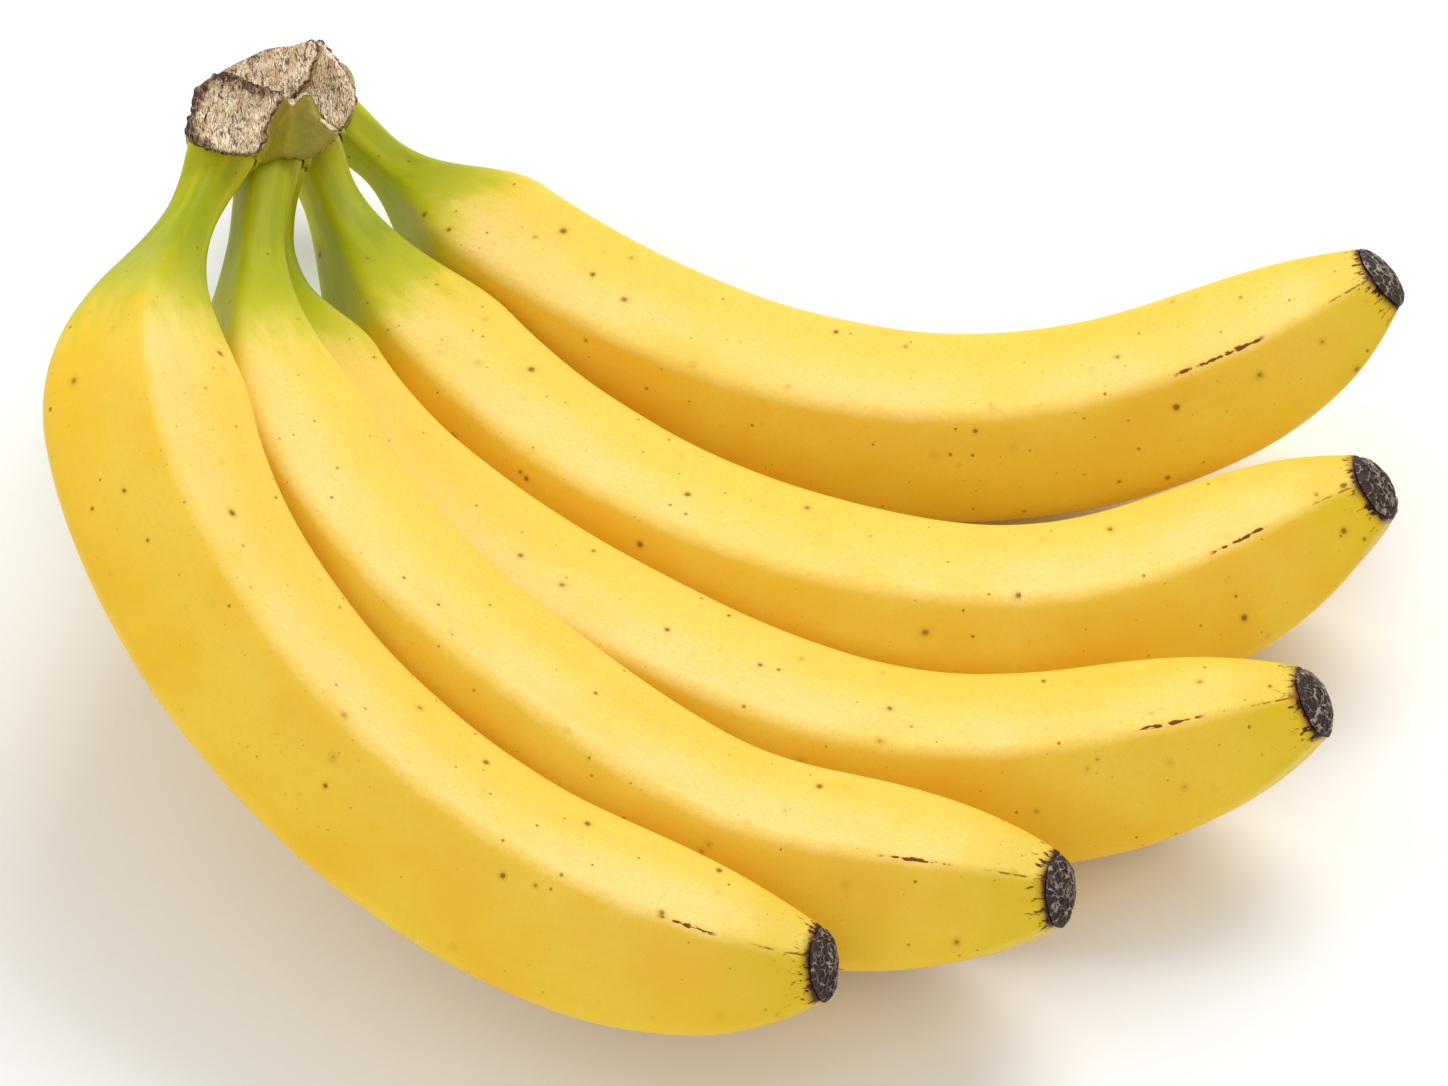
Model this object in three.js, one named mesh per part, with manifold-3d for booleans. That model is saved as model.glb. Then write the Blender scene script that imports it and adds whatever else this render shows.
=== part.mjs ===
// A hand of five bananas, cut from its stalk and lying on a table.
// The crown, the five bananas and their dry blossom ends are separate closed solids, in millimetres, +Z up.
// The origin is the middle of the hand's outline on the table.
import * as THREE from 'three';
import { mergeVertices } from 'three/addons/utils/BufferGeometryUtils.js';
import Module from 'manifold-3d';

const wasm = await Module();
wasm.setup();

// Driving dimensions of every banana
const NECK_SUNK = 4; // how far the neck goes on into the crown
const NECK_SPREAD_LENGTH = 9; // over which a neck widens towards the crown
const BODY_SLIMMING = 0.10; // share of the radius lost at either end of the body
const FATTEST_AT = 0.52; // share of the length
const TAPER_LENGTH = 60; // from the body to the blossom end
const TAPER_POWER = 3.6;
const RIM_RADIUS = 6.5; // at the blossom end
const RIDGES = 5;
const BODY_SHARPNESS = 12; // a higher power makes flatter sides and sharper ridges
const NECK_SHARPNESS = 6;
const HALF_WIDTH_PER_SIDE = 1.08; // a ridged section's half width, over its distance to a flat side
const END_LEAN = 10; // degrees that the plane of the blossom end leans
const END_LEAN_TOWARDS = 40; // degrees from straight up to the convex side
const END_LEAN_LENGTH = 16; // over which the lean comes in
const PRESS_GAP = 1.2; // between bananas that lie against each other
const PRESS_STEP = 0.98; // a skin point's share of its radius kept at each step inwards
const FEELERS = 240; // places along a banana where its neighbours' clearance is measured

// One banana each, from the front of the hand to the back.
// line: the six guide points of its middle line, from the crown to the blossom end.
// neckSpread: extra radius of the neck where it leaves the crown.
// flareLength: from the end of the neck to the full width of the body.
// ridgeAngles: degrees from straight up to the upper ridge, towards the convex side,
// at the crown and at the end.
const BANANAS = [
  {
    line: [[-93, 60, 68], [-107, 19, 58], [-113, -4, 93], [-112, -47, 47], [-46, -101, 26], [17, -106, 37]],
    neckRadius: 4.7, neckSpread: 1.8, neckLength: 15, flareLength: 57, bodyRadius: 18.6,
    ridgeAngles: [-16, 23],
  },
  {
    line: [[-85, 69, 58], [-98, -30, 45], [-53, -39, 39], [-2, -69, 33], [-25, -73, 15], [59, -86, 32]],
    neckRadius: 5.3, neckSpread: 1.2, neckLength: 18, flareLength: 56, bodyRadius: 18.2,
    ridgeAngles: [14, 22],
  },
  {
    line: [[-86, 81, 43], [-97, 11, 13], [-26, -23, 19], [7, -46, 36], [19, -58, -6], [106, -46, 35]],
    neckRadius: 5.2, neckSpread: 1.2, neckLength: 16, flareLength: 37, bodyRadius: 18.0,
    ridgeAngles: [34, 20],
  },
  {
    line: [[-80, 94, 33], [-48, 16, -4], [5, -13, 30], [51, -36, 26], [69, -9, 2], [120, 4, 36]],
    neckRadius: 5.2, neckSpread: 1.2, neckLength: 7, flareLength: 52, bodyRadius: 18.0,
    ridgeAngles: [30, 20],
  },
  {
    line: [[-78, 110, 25], [-54, 98, 10], [-45, 75, 15], [-11, 35, 28], [48, 12, -4], [123, 47, 46]],
    neckRadius: 5.0, neckSpread: 1.2, neckLength: 13, flareLength: 37, bodyRadius: 17.4,
    ridgeAngles: [45, 24],
  },
];

// The crown's core follows a curved line past the five necks
const CORE_LINE = [[-90, 63, 70], [-84, 75, 59], [-81, 90, 48], [-78, 103, 36], [-79, 116, 23]];
const CORE_HALF_WIDTH = 5.5;
const CORE_HALF_HEIGHT = 6.2;
const CORE_ROUNDING = 6; // length over which each end of the core rounds off
const CORE_END_ROUNDNESS = 0.75; // share of the squared size lost at either end of the core
const CORE_SQUARENESS = 3;

// A collar of the crown round each neck
const COLLAR_HEIGHT = 12;
const COLLAR_MOUTH_WALL = 0.6;
const COLLAR_ROOT_WALL = 1.6;
const COLLAR_MOUTH_AT = 4.5; // past the start of the neck
const NECK_CORNER_REACH = 1.02; // a ridge's radius over the neck's half width
const NECK_HOLE_GAP = 0.4;
const NECK_HOLE_LENGTH = 32;
const NECK_HOLE_STEPS = 10;

// The lobes that the cuts left on the crown, from the front one to the far one.
// Each is an outline in a plane that leans back, and runs from its front to its back along the plane's
// normal, where it shrinks and drifts by backShift into the core.
const LOBE_PLACE = new THREE.Vector3(-84, 64, 79);
const LOBE_SLOPE = 50; // degrees that the cut faces look up
const CROWN_LOBES = [
  {
    outline: [
      [-15.1, -8.0], [-14.3, -2.8], [-11.6, 1.8], [-7.3, 2.6], [-3.5, 1.0], [0.5, -0.4], [2.3, -1.2],
      [1.2, -3.4], [-0.4, -6.2], [-1.2, -9.3], [-2.2, -11.7], [-6.0, -12.1], [-10.3, -11.4], [-13.4, -10.2],
    ],
    front: 4.5,
    back: -22,
    backShift: [4, 0],
  },
  {
    outline: [
      [-12.4, 1.4], [-11.9, 3.3], [-8.3, 5.7], [-4.7, 7.4], [-1.6, 8.8], [3.1, 9.5], [7.9, 10.0],
      [6.9, 5.9], [5.4, 2.2], [1.8, -0.4], [-4.7, -0.8], [-9.4, 0.1],
    ],
    front: -12,
    back: -62,
    backShift: [6, -2],
  },
  {
    outline: [
      [8.0, 10.5], [10.8, 7.3], [13.5, 4.0], [14.8, -0.3], [14.0, -3.1], [12.2, -5.4], [10.5, -6.1],
      [8.2, -5.0], [6.6, -2.4], [5.4, 1.4], [5.6, 5.8],
    ],
    front: -20,
    back: -76,
    backShift: [-3.5, 0.5],
  },
];
// Share of a lobe's depth from its back, and the outline's size there
const LOBE_SECTIONS = [[0, 0.4], [0.12, 0.6], [0.45, 0.82], [0.8, 1], [0.96, 1], [1, 0.93]];

// The dry blossom ends
const TIP_THICKNESS = 1.6;
const TIP_GAP = 0.3;
const TIP_RADIUS = 6.3;
const TIP_ROUNDNESS = 0.8; // share of the disc's squared radius lost at the top of its dome

// Mesh fineness
const BANANA_SIDES = 20;
const BANANA_STATIONS = 38;
const STATION_CROWDING = 0.06; // how much closer the stations are towards both ends
const CORE_SIDES = 16;
const CORE_STATIONS = 12;
const COLLAR_SIDES = 16;
const LOBE_SIDES = 28;
const TIP_SIDES = 16;
const TIP_RINGS = 3;

// Where the table and the middle of the hand's outline lie in the coordinates above
const TABLE_HEIGHT = 0.9;
const MIDDLE = new THREE.Vector3(2.9, 1.0, TABLE_HEIGHT);

const UP = new THREE.Vector3(0, 0, 1);

const PEEL = new THREE.MeshStandardMaterial({ color: 0xf0c93a, roughness: 0.45, metalness: 0 });
const DRY_STALK = new THREE.MeshStandardMaterial({ color: 0xb08a5c, roughness: 0.9, metalness: 0 });
const DRY_TIP = new THREE.MeshStandardMaterial({ color: 0x35281f, roughness: 0.85, metalness: 0 });

// A smooth curve pulled towards all of its guide points, through the first and the last
class GuidedCurve extends THREE.Curve {
  constructor(points) {
    super();
    this.points = points.map((point) => new THREE.Vector3(...point));
  }

  getPoint(t, target = new THREE.Vector3()) {
    let row = this.points;
    while (row.length > 1) {
      const next = [];
      for (let i = 1; i < row.length; i++) {
        next.push(row[i - 1].clone().lerp(row[i], t));
      }
      row = next;
    }
    return target.copy(row[0]);
  }
}

function smoothstep(value) {
  const t = THREE.MathUtils.clamp(value, 0, 1);
  return t * t * (3 - 2 * t);
}

// The half width of a banana at a distance along its middle line
function halfWidth(banana, distance, length) {
  const fromFattest = (distance / length - FATTEST_AT) / 0.5;
  const body = banana.bodyRadius * (1 - BODY_SLIMMING * fromFattest ** 2);
  const flare = smoothstep((distance - banana.neckLength) / banana.flareLength);
  const spread = banana.neckSpread * Math.exp(-((Math.max(distance, 0) / NECK_SPREAD_LENGTH) ** 2));
  const whole = banana.neckRadius + (body - banana.neckRadius) * flare + spread;
  const toEnd = THREE.MathUtils.clamp((length - distance) / TAPER_LENGTH, 0, 1);
  const fullness = 1 - (1 - toEnd) ** TAPER_POWER;
  return RIM_RADIUS + (whole - RIM_RADIUS) * fullness;
}

// The radius of a rounded five-sided section; a ridge is at angle 0
function sectionRadius(half, angle, sharpness) {
  let sum = 0;
  for (let side = 0; side < RIDGES; side++) {
    const facing = Math.cos(angle - (side + 0.5) * (2 * Math.PI / RIDGES));
    sum += Math.max(facing, 0) ** sharpness;
  }
  return half / HALF_WIDTH_PER_SIDE / sum ** (1 / sharpness);
}

// A place on the middle line with its directions: along, outer (the convex side) and upper
function station(curve, length, distance) {
  const share = THREE.MathUtils.clamp(distance / length, 0, 1);
  const along = curve.getTangentAt(share);
  const centre = curve.getPointAt(share);
  if (distance < 0) centre.addScaledVector(along, distance);
  const outer = along.clone().cross(UP).normalize();
  const upper = outer.clone().cross(along);
  return { centre, along, outer, upper, distance };
}

// A banana's station; near the blossom end its plane leans
function bananaStation(banana, distance) {
  const place = station(banana.curve, banana.length, distance);
  const nearEnd = smoothstep(1 - (banana.length - distance) / END_LEAN_LENGTH);
  const lean = THREE.MathUtils.degToRad(END_LEAN) * nearEnd;
  const towards = THREE.MathUtils.degToRad(END_LEAN_TOWARDS);
  const side = place.upper.clone().multiplyScalar(Math.cos(towards));
  side.addScaledVector(place.outer, Math.sin(towards));
  const hinge = place.along.clone().cross(side);
  for (const direction of [place.along, place.outer, place.upper]) direction.applyAxisAngle(hinge, lean);
  return place;
}

function ridgeAngle(banana, place) {
  const [atCrown, atEnd] = banana.ridgeAngles;
  return THREE.MathUtils.degToRad(atCrown + (atEnd - atCrown) * place.distance / banana.length);
}

function surfaceRadius(banana, place, angle) {
  const half = halfWidth(banana, place.distance, banana.length);
  const body = smoothstep((place.distance - banana.neckLength) / banana.flareLength);
  const sharpness = NECK_SHARPNESS + (BODY_SHARPNESS - NECK_SHARPNESS) * body;
  return sectionRadius(half, angle - ridgeAngle(banana, place), sharpness);
}

function prepared(spec) {
  const curve = new GuidedCurve(spec.line);
  const banana = { ...spec, curve, length: curve.getLength() };
  banana.places = [];
  for (let i = 0; i <= BANANA_STATIONS; i++) {
    const t = i / BANANA_STATIONS;
    const share = t - STATION_CROWDING * Math.sin(2 * Math.PI * t);
    const distance = -NECK_SUNK + share * (banana.length + NECK_SUNK);
    banana.places.push(bananaStation(banana, distance));
  }
  banana.feelers = [];
  for (let i = 0; i <= FEELERS; i++) {
    banana.feelers.push(bananaStation(banana, banana.length * i / FEELERS));
  }
  return banana;
}

// How far a point is outside a banana's skin; negative inside
function clearance(banana, point) {
  let nearest = banana.feelers[0];
  for (const place of banana.feelers) {
    if (place.centre.distanceToSquared(point) < nearest.centre.distanceToSquared(point)) nearest = place;
  }
  const spoke = point.clone().sub(nearest.centre);
  spoke.addScaledVector(nearest.along, -spoke.dot(nearest.along));
  const angle = Math.atan2(spoke.dot(nearest.outer), spoke.dot(nearest.upper));
  return spoke.length() - surfaceRadius(banana, nearest, angle);
}

// A skin point drawn in towards its own middle line until it clears the bananas in front of it
function pressedIn(point, centre, inFront) {
  const spoke = point.clone().sub(centre);
  for (const other of inFront) {
    while (clearance(other, spoke.clone().add(centre)) < PRESS_GAP && spoke.length() > 1) {
      spoke.multiplyScalar(PRESS_STEP);
    }
  }
  return spoke.add(centre);
}

// A closed mesh through rings of points with a flat fan at either end
function loft(rings) {
  const sides = rings[0].length;
  const positions = [];
  const faces = [];
  for (const ring of rings) {
    for (const point of ring) positions.push(point.x, point.y, point.z);
  }
  for (let i = 0; i + 1 < rings.length; i++) {
    for (let j = 0; j < sides; j++) {
      const a = i * sides + j;
      const b = i * sides + (j + 1) % sides;
      faces.push(a, b, b + sides, a, b + sides, a + sides);
    }
  }
  for (const [index, flip] of [[0, true], [rings.length - 1, false]]) {
    const middle = positions.length / 3;
    const centre = new THREE.Vector3();
    for (const point of rings[index]) centre.addScaledVector(point, 1 / sides);
    positions.push(centre.x, centre.y, centre.z);
    for (let j = 0; j < sides; j++) {
      const a = index * sides + j;
      const b = index * sides + (j + 1) % sides;
      if (flip) faces.push(middle, b, a);
      else faces.push(middle, a, b);
    }
  }
  const geometry = new THREE.BufferGeometry();
  geometry.setAttribute('position', new THREE.Float32BufferAttribute(positions, 3));
  geometry.setIndex(faces);
  return geometry;
}

function bananaRing(banana, place, grow) {
  const ring = [];
  for (let j = 0; j < BANANA_SIDES; j++) {
    const angle = ridgeAngle(banana, place) + j * 2 * Math.PI / BANANA_SIDES;
    const radius = surfaceRadius(banana, place, angle) + grow;
    const point = place.centre.clone();
    point.addScaledVector(place.upper, radius * Math.cos(angle));
    point.addScaledVector(place.outer, radius * Math.sin(angle));
    ring.push(point);
  }
  return ring;
}

// A banana flattens a little where it lies on the table and where the banana in front presses on it
function bananaGeometry(banana, inFront) {
  const rings = [];
  for (const place of banana.places) {
    const ring = bananaRing(banana, place, 0);
    const settled = ring.map((point) => pressedIn(point, place.centre, inFront));
    for (const point of settled) point.z = Math.max(point.z, TABLE_HEIGHT);
    rings.push(settled);
  }
  return loft(rings);
}

// The neck's part in the crown, a little larger, to cut its hole
function neckHole(banana) {
  const rings = [];
  const deepest = -NECK_SUNK - NECK_HOLE_GAP;
  for (let i = 0; i <= NECK_HOLE_STEPS; i++) {
    const place = bananaStation(banana, deepest + NECK_HOLE_LENGTH * i / NECK_HOLE_STEPS);
    rings.push(bananaRing(banana, place, NECK_HOLE_GAP));
  }
  return loft(rings);
}

function crownCore() {
  const curve = new GuidedCurve(CORE_LINE);
  const length = curve.getLength();
  const rings = [];
  for (let i = 0; i <= CORE_STATIONS; i++) {
    const distance = length * i / CORE_STATIONS;
    const place = station(curve, length, distance);
    const fromEnd = Math.min(distance, length - distance);
    const inset = 1 - Math.min(fromEnd / CORE_ROUNDING, 1);
    const size = Math.sqrt(1 - CORE_END_ROUNDNESS * inset ** 2);
    const ring = [];
    for (let j = 0; j < CORE_SIDES; j++) {
      const angle = j * 2 * Math.PI / CORE_SIDES;
      const cosine = Math.abs(Math.cos(angle)) ** CORE_SQUARENESS;
      const sine = Math.abs(Math.sin(angle)) ** CORE_SQUARENESS;
      const reach = size / (cosine + sine) ** (1 / CORE_SQUARENESS);
      const point = place.centre.clone();
      point.addScaledVector(place.upper, reach * CORE_HALF_HEIGHT * Math.cos(angle));
      point.addScaledVector(place.outer, reach * CORE_HALF_WIDTH * Math.sin(angle));
      ring.push(point);
    }
    rings.push(ring);
  }
  return loft(rings);
}

function crownLobe(lobe) {
  const slope = THREE.MathUtils.degToRad(LOBE_SLOPE);
  const rise = new THREE.Vector3(0, Math.sin(slope), Math.cos(slope));
  const normal = new THREE.Vector3(0, -Math.cos(slope), Math.sin(slope));
  const corners = lobe.outline.map(([x, y]) => new THREE.Vector3(x, y, 0));
  const outline = new THREE.CatmullRomCurve3(corners, true, 'catmullrom', 0.5);
  const points = outline.getPoints(LOBE_SIDES).slice(0, LOBE_SIDES).reverse();
  const middle = new THREE.Vector3();
  for (const point of points) middle.addScaledVector(point, 1 / LOBE_SIDES);
  const rings = [];
  for (const [share, size] of LOBE_SECTIONS) {
    const depth = lobe.back + (lobe.front - lobe.back) * share;
    const [shiftX, shiftY] = lobe.backShift.map((shift) => shift * (1 - share));
    const ring = [];
    for (const flat of points) {
      const place = middle.clone().lerp(flat, size).add(new THREE.Vector3(shiftX, shiftY, 0));
      const point = LOBE_PLACE.clone().addScaledVector(normal, depth);
      point.x += place.x;
      ring.push(point.addScaledVector(rise, place.y));
    }
    rings.push(ring);
  }
  return loft(rings);
}

function crownCollar(banana) {
  const place = bananaStation(banana, 0);
  const mouth = halfWidth(banana, COLLAR_MOUTH_AT, banana.length) * NECK_CORNER_REACH + NECK_HOLE_GAP;
  const geometry = new THREE.CylinderGeometry(
    mouth + COLLAR_MOUTH_WALL,
    mouth + COLLAR_ROOT_WALL,
    COLLAR_HEIGHT,
    COLLAR_SIDES,
  );
  const turn = new THREE.Quaternion().setFromUnitVectors(new THREE.Vector3(0, 1, 0), place.along);
  const centre = place.centre.clone().addScaledVector(place.along, COLLAR_MOUTH_AT - COLLAR_HEIGHT / 2);
  geometry.applyMatrix4(new THREE.Matrix4().compose(centre, turn, new THREE.Vector3(1, 1, 1)));
  return geometry;
}

function solidOf(geometry) {
  geometry.deleteAttribute('normal');
  geometry.deleteAttribute('uv');
  const merged = mergeVertices(geometry, 1e-4);
  return new wasm.Manifold(new wasm.Mesh({
    numProp: 3,
    vertProperties: new Float32Array(merged.attributes.position.array),
    triVerts: new Uint32Array(merged.index.array),
  }));
}

function geometryOf(solid) {
  const mesh = solid.getMesh();
  const geometry = new THREE.BufferGeometry();
  geometry.setAttribute('position', new THREE.BufferAttribute(new Float32Array(mesh.vertProperties), 3));
  geometry.setIndex(new THREE.BufferAttribute(new Uint32Array(mesh.triVerts), 1));
  return geometry;
}

function crownGeometry(bananas) {
  let crown = solidOf(crownCore());
  for (const lobe of CROWN_LOBES) crown = crown.add(solidOf(crownLobe(lobe)));
  for (const banana of bananas) crown = crown.add(solidOf(crownCollar(banana)));
  for (const banana of bananas) crown = crown.subtract(solidOf(neckHole(banana)));
  return geometryOf(crown);
}

// A low dome just past the end of a banana
function tipGeometry(banana) {
  const end = bananaStation(banana, banana.length);
  const rings = [];
  for (let i = 0; i <= TIP_RINGS; i++) {
    const share = i / TIP_RINGS;
    const radius = TIP_RADIUS * Math.sqrt(1 - TIP_ROUNDNESS * share ** 2);
    const centre = end.centre.clone().addScaledVector(end.along, TIP_GAP + TIP_THICKNESS * share);
    const ring = [];
    for (let j = 0; j < TIP_SIDES; j++) {
      const angle = j * 2 * Math.PI / TIP_SIDES;
      const point = centre.clone();
      point.addScaledVector(end.upper, radius * Math.cos(angle));
      point.addScaledVector(end.outer, radius * Math.sin(angle));
      ring.push(point);
    }
    rings.push(ring);
  }
  return loft(rings);
}

function addPart(group, name, geometry, material) {
  const flat = geometry.toNonIndexed();
  flat.computeVertexNormals();
  const mesh = new THREE.Mesh(flat, material);
  mesh.name = name;
  group.add(mesh);
}

const hand = new THREE.Group();
const bananas = BANANAS.map(prepared);
addPart(hand, 'crown', crownGeometry(bananas), DRY_STALK);
bananas.forEach((banana, index) => {
  const inFront = bananas.slice(0, index);
  addPart(hand, `banana_${index + 1}`, bananaGeometry(banana, inFront), PEEL);
  addPart(hand, `tip_${index + 1}`, tipGeometry(banana), DRY_TIP);
});
hand.position.copy(MIDDLE).negate();

export default hand;
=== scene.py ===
import math

import bpy
import numpy as np
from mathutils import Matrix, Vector, noise


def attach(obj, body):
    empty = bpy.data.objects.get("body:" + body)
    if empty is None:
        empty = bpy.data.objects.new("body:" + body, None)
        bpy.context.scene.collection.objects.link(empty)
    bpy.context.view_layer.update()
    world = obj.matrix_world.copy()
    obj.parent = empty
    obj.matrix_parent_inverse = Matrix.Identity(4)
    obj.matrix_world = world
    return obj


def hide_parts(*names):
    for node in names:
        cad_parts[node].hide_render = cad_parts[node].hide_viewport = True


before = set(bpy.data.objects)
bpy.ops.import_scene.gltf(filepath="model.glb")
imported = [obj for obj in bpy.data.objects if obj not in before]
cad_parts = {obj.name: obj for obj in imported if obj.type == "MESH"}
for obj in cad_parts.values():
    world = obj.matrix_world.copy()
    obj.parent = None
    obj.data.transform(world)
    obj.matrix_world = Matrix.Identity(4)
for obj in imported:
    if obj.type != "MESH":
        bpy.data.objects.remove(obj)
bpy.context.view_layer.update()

MM = 0.001

# The hand's driving dimensions in millimetres, as in the part's source
NECK_SUNK = 4
NECK_SPREAD_LENGTH = 9
BODY_SLIMMING = 0.10
FATTEST_AT = 0.52
TAPER_LENGTH = 60
TAPER_POWER = 3.6
RIM_RADIUS = 6.5
RIDGES = 5
BODY_SHARPNESS = 12
NECK_SHARPNESS = 6
HALF_WIDTH_PER_SIDE = 1.08
END_LEAN = math.radians(10)
END_LEAN_TOWARDS = math.radians(40)
END_LEAN_LENGTH = 16
TABLE_HEIGHT = 0.9
MIDDLE = np.array([2.9, 1.0, TABLE_HEIGHT])
UP = np.array([0.0, 0.0, 1.0])

# One banana each, from the front of the hand to the back.
# scar: where the dry mark on the upper ridge starts and stops, from the blossom end.
# green: how far the green of the neck reaches.
BANANAS = [
    {"line": [[-93, 60, 68], [-107, 19, 58], [-113, -4, 93], [-112, -47, 47], [-46, -101, 26], [17, -106, 37]],
     "neck": 4.7, "spread": 1.8, "neck_length": 15, "flare": 57, "body": 18.6, "ridge_angles": (-16, 23),
     "scar": (27, 17), "green": 52},
    {"line": [[-85, 69, 58], [-98, -30, 45], [-53, -39, 39], [-2, -69, 33], [-25, -73, 15], [59, -86, 32]],
     "neck": 5.3, "spread": 1.2, "neck_length": 18, "flare": 56, "body": 18.2, "ridge_angles": (14, 22),
     "scar": (29, 17), "green": 49},
    {"line": [[-86, 81, 43], [-97, 11, 13], [-26, -23, 19], [7, -46, 36], [19, -58, -6], [106, -46, 35]],
     "neck": 5.2, "spread": 1.2, "neck_length": 16, "flare": 37, "body": 18.0, "ridge_angles": (34, 20),
     "scar": (30, 18), "green": 50},
    {"line": [[-80, 94, 33], [-48, 16, -4], [5, -13, 30], [51, -36, 26], [69, -9, 2], [120, 4, 36]],
     "neck": 5.2, "spread": 1.2, "neck_length": 7, "flare": 52, "body": 18.0, "ridge_angles": (30, 20),
     "scar": (34, 21), "green": 45},
    {"line": [[-78, 110, 25], [-54, 98, 10], [-45, 75, 15], [-11, 35, 28], [48, 12, -4], [123, 47, 46]],
     "neck": 5.0, "spread": 1.2, "neck_length": 13, "flare": 37, "body": 17.4, "ridge_angles": (45, 24),
     "scar": (42, 24), "green": 41},
]

CORE_LINE = [[-90, 63, 70], [-84, 75, 59], [-81, 90, 48], [-78, 103, 36], [-79, 116, 23]]
CORE_HALF_WIDTH = 7.0
CORE_HALF_HEIGHT = 7.2
CORE_ROUNDING = 6
CORE_END_ROUNDNESS = 0.75
CORE_SQUARENESS = 3
COLLAR_HEIGHT = 12
COLLAR_MOUTH_WALL = 0.35
COLLAR_ROOT_WALL = 1.2
COLLAR_MOUTH_AT = 1.2
NECK_CORNER_REACH = 1.02
NECK_HOLE_GAP = 0.35
NECK_HOLE_LENGTH = 32

LOBE_PLACE = np.array([-84, 64, 79]) - MIDDLE
LOBE_SLOPE = math.radians(50)
LOBE_RISE = np.array([0, math.sin(LOBE_SLOPE), math.cos(LOBE_SLOPE)])
LOBE_NORMAL = np.array([0, -math.cos(LOBE_SLOPE), math.sin(LOBE_SLOPE)])
CROWN_LOBES = [
    {"outline": [[-15.1, -8.0], [-14.3, -2.8], [-11.6, 1.8], [-7.3, 2.6], [-3.5, 1.0], [0.5, -0.4], [2.3, -1.2],
                 [1.2, -3.4], [-0.4, -6.2], [-1.2, -9.3], [-2.2, -11.7], [-6.0, -12.1], [-10.3, -11.4],
                 [-13.4, -10.2]],
     "front": 4.5, "back": -22, "back_shift": (4, 0), "band": 1.9},
    {"outline": [[-12.4, 1.4], [-11.9, 3.3], [-8.3, 5.7], [-4.7, 7.4], [-1.6, 8.8], [3.1, 9.5], [7.9, 10.0],
                 [6.9, 5.9], [5.4, 2.2], [1.8, -0.4], [-4.7, -0.8], [-9.4, 0.1]],
     "front": -12, "back": -62, "back_shift": (6, -2), "band": 1.6},
    {"outline": [[8.0, 10.5], [10.8, 7.3], [13.5, 4.0], [14.8, -0.3], [14.0, -3.1], [12.2, -5.4], [10.5, -6.1],
                 [8.2, -5.0], [6.6, -2.4], [5.4, 1.4], [5.6, 5.8]],
     "front": -20, "back": -76, "back_shift": (-3.5, 0.5)},
]
PATCH = {
    "outline": [[-1.4, -10.4], [0.6, -5.4], [3.0, -2.0], [5.9, 0.4], [8.6, -4.6], [11.8, -7.2], [9.6, -9.8],
                [7.2, -11.7], [2.8, -12.0]],
    "front": -10.5, "back": -42, "back_shift": (0, 2),
}
LOBE_SECTIONS = np.array([[0, 0.4], [0.12, 0.6], [0.45, 0.82], [0.8, 1], [0.96, 1], [1, 0.93]])

# Visual detail in millimetres
PEEL_SIDES = 150
PEEL_STATIONS = 320
TOUCH_GAP = 0.35
LUMP_HEIGHT = 0.22
LUMP_SIZE = 18
TIP_RADIUS = 6.5
TIP_GAP = 0.3
TIP_DOME = 1.6
WEB_HEIGHT = 0.4
CROWN_VOXEL = 0.36

# The camera, as the photograph was taken
PHOTO_SIZE = (1448, 1086)
CAMERA_ELEVATION = math.radians(50)
CAMERA_DISTANCE = 1300
CAMERA_AIM = np.array([0, 0, 25]) - MIDDLE
PIXELS_PER_MM = 5.4
SENSOR_WIDTH = 36


def smoothstep(value):
    t = np.clip(value, 0, 1)
    return t * t * (3 - 2 * t)


class GuidedCurve:
    """A smooth curve pulled towards all of its guide points, measured along its length in millimetres."""

    SAMPLES = 2001

    def __init__(self, points):
        self.points = np.array(points, float) - MIDDLE
        t = np.linspace(0, 1, self.SAMPLES)
        path = self.at(t)
        steps = np.linalg.norm(np.diff(path, axis=0), axis=1)
        self.t = t
        self.travelled = np.concatenate([[0], np.cumsum(steps)])
        self.length = self.travelled[-1]

    def weights(self, t, degree):
        return [math.comb(degree, k) * t ** k * (1 - t) ** (degree - k) for k in range(degree + 1)]

    def at(self, t):
        weights = self.weights(t, len(self.points) - 1)
        return sum(w[:, None] * point for w, point in zip(weights, self.points))

    def direction(self, t):
        legs = np.diff(self.points, axis=0)
        weights = self.weights(t, len(legs) - 1)
        along = sum(w[:, None] * leg for w, leg in zip(weights, legs))
        return along / np.linalg.norm(along, axis=1, keepdims=True)

    def places(self, distance):
        """Centres and the along, outer and upper directions at these distances."""
        t = np.interp(np.clip(distance, 0, self.length), self.travelled, self.t)
        along = self.direction(t)
        beyond = np.minimum(distance, 0) + np.maximum(distance - self.length, 0)
        centre = self.at(t) + along * beyond[:, None]
        outer = np.cross(along, UP)
        outer /= np.linalg.norm(outer, axis=1, keepdims=True)
        upper = np.cross(outer, along)
        return {"centre": centre, "along": along, "outer": outer, "upper": upper, "distance": distance}


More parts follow.
